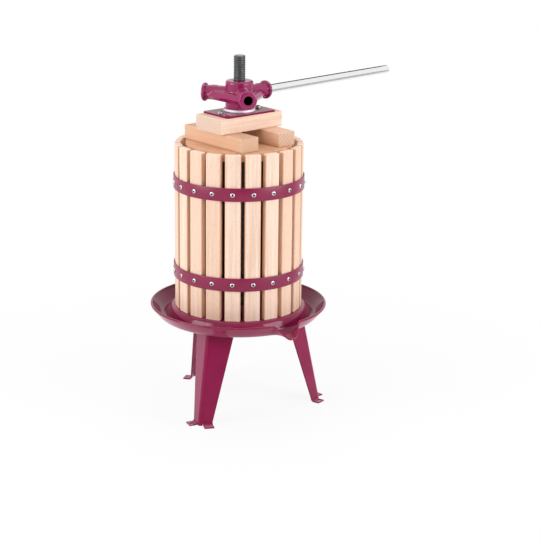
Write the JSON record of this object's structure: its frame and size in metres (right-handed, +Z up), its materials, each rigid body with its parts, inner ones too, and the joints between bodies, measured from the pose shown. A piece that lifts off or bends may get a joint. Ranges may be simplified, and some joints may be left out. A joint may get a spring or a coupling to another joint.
{
  "type": "fruit press",
  "caption": "Basket fruit press: slatted wooden basket on a three-legged juice tray, with a fixed screw spindle, pressing blocks and an armed nut turned by a bar.",
  "frame": {"origin": "on the spindle's axis, on the floor under the feet", "axes": "+Z up along the spindle, -Y towards the tray's spout"},
  "size_m": [0.6779, 0.4224, 0.805],
  "materials": {
    "burgundy_paint": "gloss paint on steel sheet",
    "burgundy_casting": "gloss paint on cast iron",
    "beech": "sanded raw beech",
    "screw_steel": "dark oiled steel, threaded",
    "zinc_steel": "bright zinc plate",
    "polished_bar": "polished bright plate"
  },
  "bodies": {
    "stand": {"tray": "burgundy_paint", "leg_rear": "burgundy_paint", "leg_left": "burgundy_paint", "leg_right": "burgundy_paint", "leg_bolts": "zinc_steel", "leg_nuts": "zinc_steel", "spindle": "screw_steel", "lock_nut": "screw_steel", "anchor_plate": "burgundy_paint", "anchor_washer": "zinc_steel", "anchor_nut": "zinc_steel"},
    "basket": {"slat_01": "beech", "slat_02": "beech", "slat_03": "beech", "slat_04": "beech", "slat_05": "beech", "slat_06": "beech", "slat_07": "beech", "slat_08": "beech", "slat_09": "beech", "slat_10": "beech", "slat_11": "beech", "slat_12": "beech", "slat_13": "beech", "slat_14": "beech", "slat_15": "beech", "slat_16": "beech", "slat_17": "beech", "slat_18": "beech", "slat_19": "beech", "slat_20": "beech", "lower_hoop": "burgundy_paint", "upper_hoop": "burgundy_paint", "lower_hoop_screws": "zinc_steel", "upper_hoop_screws": "zinc_steel"},
    "press_head": {"board_left": "beech", "board_right": "beech", "lower_block_left": "beech", "lower_block_right": "beech", "top_block": "beech", "pressure_plate": "burgundy_paint", "plate_washers": "zinc_steel", "plate_screws": "zinc_steel", "thrust_washer": "zinc_steel"},
    "press_nut": {"press_nut": "burgundy_casting"},
    "lever_bar": {"lever_bar": "polished_bar"}
  },
  "joints": [
    {"name": "basket_lift", "type": "slide", "parent": "stand", "child": "basket", "axis": [0, 0, 1], "range_m": [0, 0.02]},
    {"name": "press_slide", "type": "slide", "parent": "stand", "child": "press_head", "axis": [0, 0, 1], "range_m": [-0.0702, 0.0002]},
    {"name": "nut_turn", "type": "hinge", "parent": "press_head", "child": "press_nut", "pos_m": [0, 0, 0.719], "axis": [0, 0, 1], "range_deg": [-5040, 0]},
    {"name": "bar_pull", "type": "slide", "parent": "press_nut", "child": "lever_bar", "axis": [0.9839, 0.1788, 0], "range_m": [0, 0.045]}
  ],
  "couplings": [
    {"joint": "press_slide", "follows": "nut_turn", "m_per_rad": 0.00079577}
  ]
}
